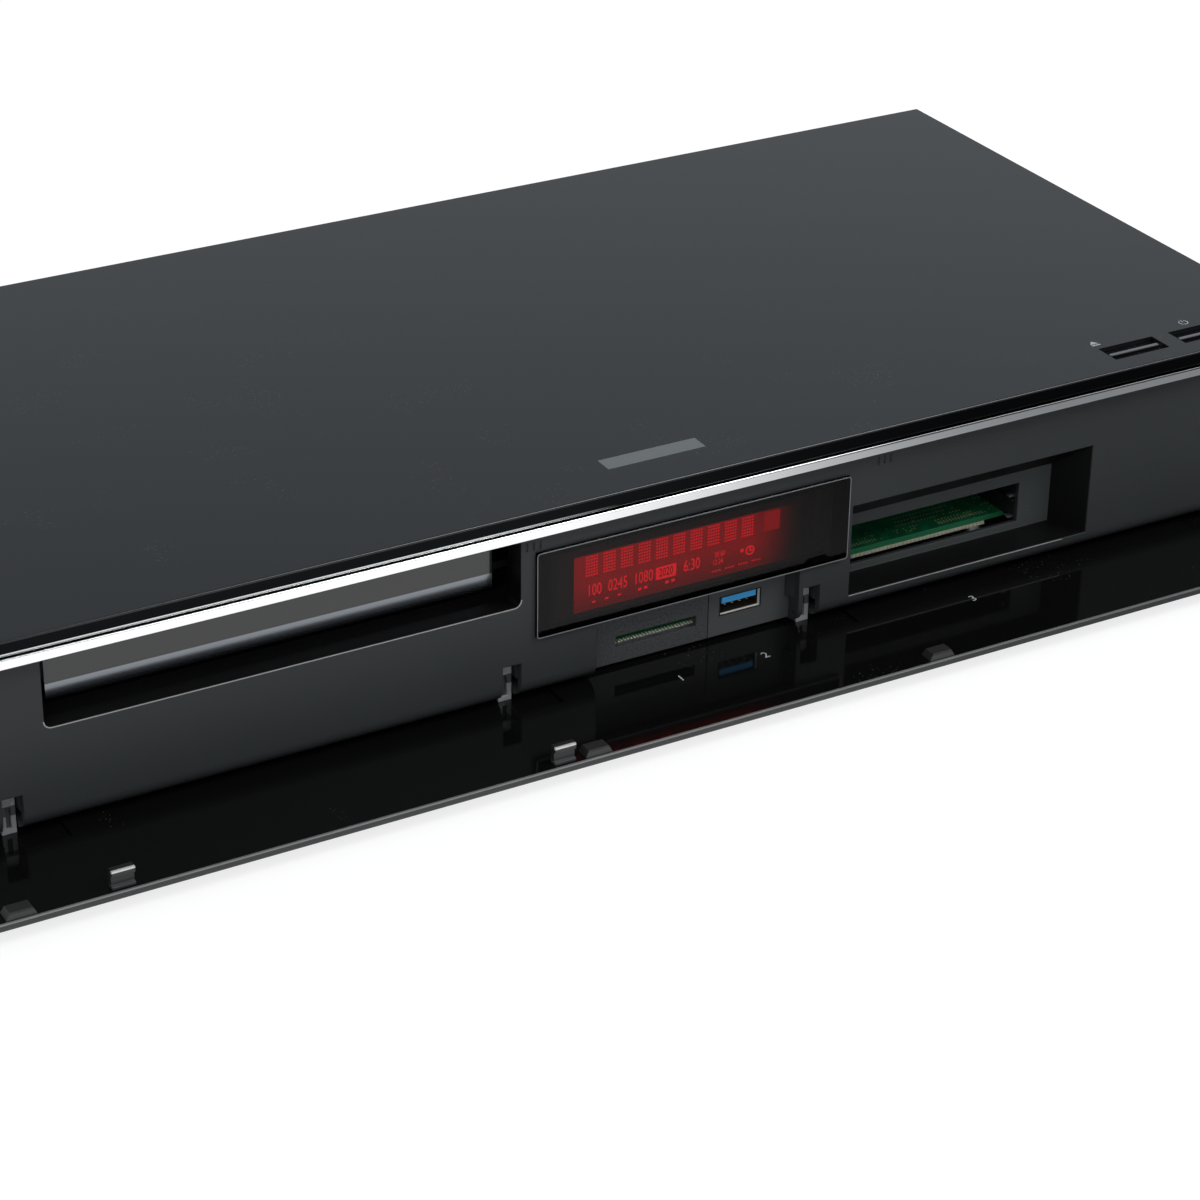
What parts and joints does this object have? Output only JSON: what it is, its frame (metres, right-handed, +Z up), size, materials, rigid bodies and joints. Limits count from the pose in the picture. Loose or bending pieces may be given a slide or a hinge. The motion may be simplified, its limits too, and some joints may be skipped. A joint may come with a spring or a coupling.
{
  "type": "disc recorder",
  "caption": "Flat black disc recorder with a drop-down front flap, open to show its tray mouth, lit display, socket bay and card slot.",
  "frame": {"origin": "on the table, under the middle of the recorder with its flap open", "axes": "+X to the viewer's right along the front, +Y from the front to the back, +Z up"},
  "size_m": [0.43, 0.2406, 0.066],
  "materials": {
    "lid_gloss": "gloss",
    "polished_strip": "polished",
    "zinc_steel": "satin",
    "black_steel": "satin",
    "panel_satin": "satin",
    "flap_gloss": "gloss",
    "black_plastic": "satin",
    "grained_plastic": "grained",
    "tray_gloss": "gloss",
    "hook_steel": "satin",
    "pin_steel": "polished",
    "smoked_window": "gloss",
    "display_tube": "gloss",
    "green_board": "satin",
    "blue_plastic": "satin",
    "white_plastic": "satin",
    "key_plastic": "gloss",
    "cast_alloy": "satin",
    "grey_rubber": "matte",
    "sled_plastic": "satin",
    "lens_glass": "polished"
  },
  "bodies": {
    "case": {"top_cover": "lid_gloss", "silver_strip": "polished_strip", "bottom_chassis": "zinc_steel", "rear_panel": "black_steel", "feet": "grey_rubber", "case_screws": "black_steel", "front_panel": "panel_satin", "hinge_pins": "pin_steel", "display_window": "smoked_window", "display_holder": "black_plastic", "display_glass": "display_tube", "front_board": "green_board", "sd_bezel": "grained_plastic", "usb_bezel": "black_plastic", "sd_socket": "zinc_steel", "usb_shell": "zinc_steel", "usb_tongue": "blue_plastic", "card_cage": "black_plastic", "card_board": "green_board", "card_springs": "zinc_steel", "button_well": "black_plastic", "switch_board": "green_board", "drive_chassis": "black_plastic", "drive_lid": "zinc_steel", "loading_motor": "zinc_steel", "loading_belt": "grey_rubber", "main_board": "green_board", "main_heatsink": "cast_alloy", "hard_disk": "cast_alloy", "disk_bracket": "zinc_steel", "power_board": "green_board", "fan_frame": "black_plastic", "tuner": "zinc_steel", "hdmi_sockets": "zinc_steel", "lan_socket": "zinc_steel", "audio_socket": "black_plastic", "mains_inlet": "black_plastic"},
    "flap": {"flap_door": "flap_gloss", "flap_hooks": "hook_steel", "flap_bumpers": "black_plastic", "hinge_arms": "hook_steel"},
    "loader": {"tray": "black_plastic", "tray_face": "tray_gloss"},
    "gear": {"drive_gear": "white_plastic"},
    "motor_pulley": {"loading_pulley": "white_plastic"},
    "slider": {"cam_slider": "white_plastic"},
    "traverse": {"traverse_frame": "cast_alloy", "spindle_motor": "zinc_steel", "guide_rails": "zinc_steel", "sled_motor": "zinc_steel"},
    "sled": {"pickup": "sled_plastic", "pickup_lens": "lens_glass"},
    "sled_screw": {"lead_screw": "zinc_steel"},
    "spindle": {"turntable": "grey_rubber"},
    "clamp": {"disc_clamp": "white_plastic"},
    "fan": {"fan_rotor": "black_plastic"},
    "eject_key": {"eject_button": "key_plastic"},
    "power_key": {"power_button": "key_plastic"}
  },
  "joints": [
    {"name": "flap_hinge", "type": "hinge", "parent": "case", "child": "flap", "pos_m": [0, -0.07905, 0.0163], "axis": [1, 0, 0], "range_deg": [-90, 0]},
    {"name": "tray_slide", "type": "slide", "parent": "case", "child": "loader", "axis": [0, -1, 0], "range_m": [0, 0.132]},
    {"name": "drive_gear_turn", "type": "hinge", "parent": "case", "child": "gear", "pos_m": [-0.1595, -0.05575, 0.045], "axis": [0, 0, 1], "range_deg": [0, 950]},
    {"name": "motor_pulley_turn", "type": "hinge", "parent": "case", "child": "motor_pulley", "pos_m": [-0.171, -0.01975, 0.042], "axis": [0, 0, 1], "range_deg": [0, 3200]},
    {"name": "cam_slide", "type": "slide", "parent": "case", "child": "slider", "axis": [1, 0, 0], "range_m": [0, 0.02]},
    {"name": "traverse_lift", "type": "hinge", "parent": "case", "child": "traverse", "pos_m": [-0.1145, 0.08225, 0.0322], "axis": [-1, 0, 0], "range_deg": [0, 4.4]},
    {"name": "sled_slide", "type": "slide", "parent": "traverse", "child": "sled", "axis": [0, 1, 0], "range_m": [0, 0.035]},
    {"name": "sled_screw_turn", "type": "hinge", "parent": "traverse", "child": "sled_screw", "pos_m": [-0.0845, 0.02425, 0.0374], "axis": [0, 1, 0], "range_deg": [0, 4210]},
    {"name": "spindle_spin", "type": "hinge", "parent": "traverse", "child": "spindle", "pos_m": [-0.1145, -0.00775, 0.04], "axis": [0, 0, 1], "continuous": true},
    {"name": "clamp_spin", "type": "hinge", "parent": "case", "child": "clamp", "pos_m": [-0.1145, -0.00775, 0.057], "axis": [0, 0, 1], "continuous": true},
    {"name": "fan_spin", "type": "hinge", "parent": "case", "child": "fan", "pos_m": [0.122, 0.10925, 0.036], "axis": [0, 1, 0], "continuous": true},
    {"name": "eject_press", "type": "slide", "parent": "case", "child": "eject_key", "axis": [0, 0, -1], "range_m": [0, 0.0006], "stiffness_N_per_m": 200},
    {"name": "power_press", "type": "slide", "parent": "case", "child": "power_key", "axis": [0, 0, -1], "range_m": [0, 0.0006], "stiffness_N_per_m": 200}
  ],
  "couplings": [
    {"joint": "drive_gear_turn", "follows": "tray_slide", "rad_per_m": 125},
    {"joint": "motor_pulley_turn", "follows": "tray_slide", "rad_per_m": 422.3},
    {"joint": "traverse_lift", "follows": "cam_slide", "rad_per_m": 3.7778},
    {"joint": "sled_screw_turn", "follows": "sled_slide", "rad_per_m": 2094.4},
    {"joint": "clamp_spin", "follows": "spindle_spin", "ratio": 1}
  ]
}
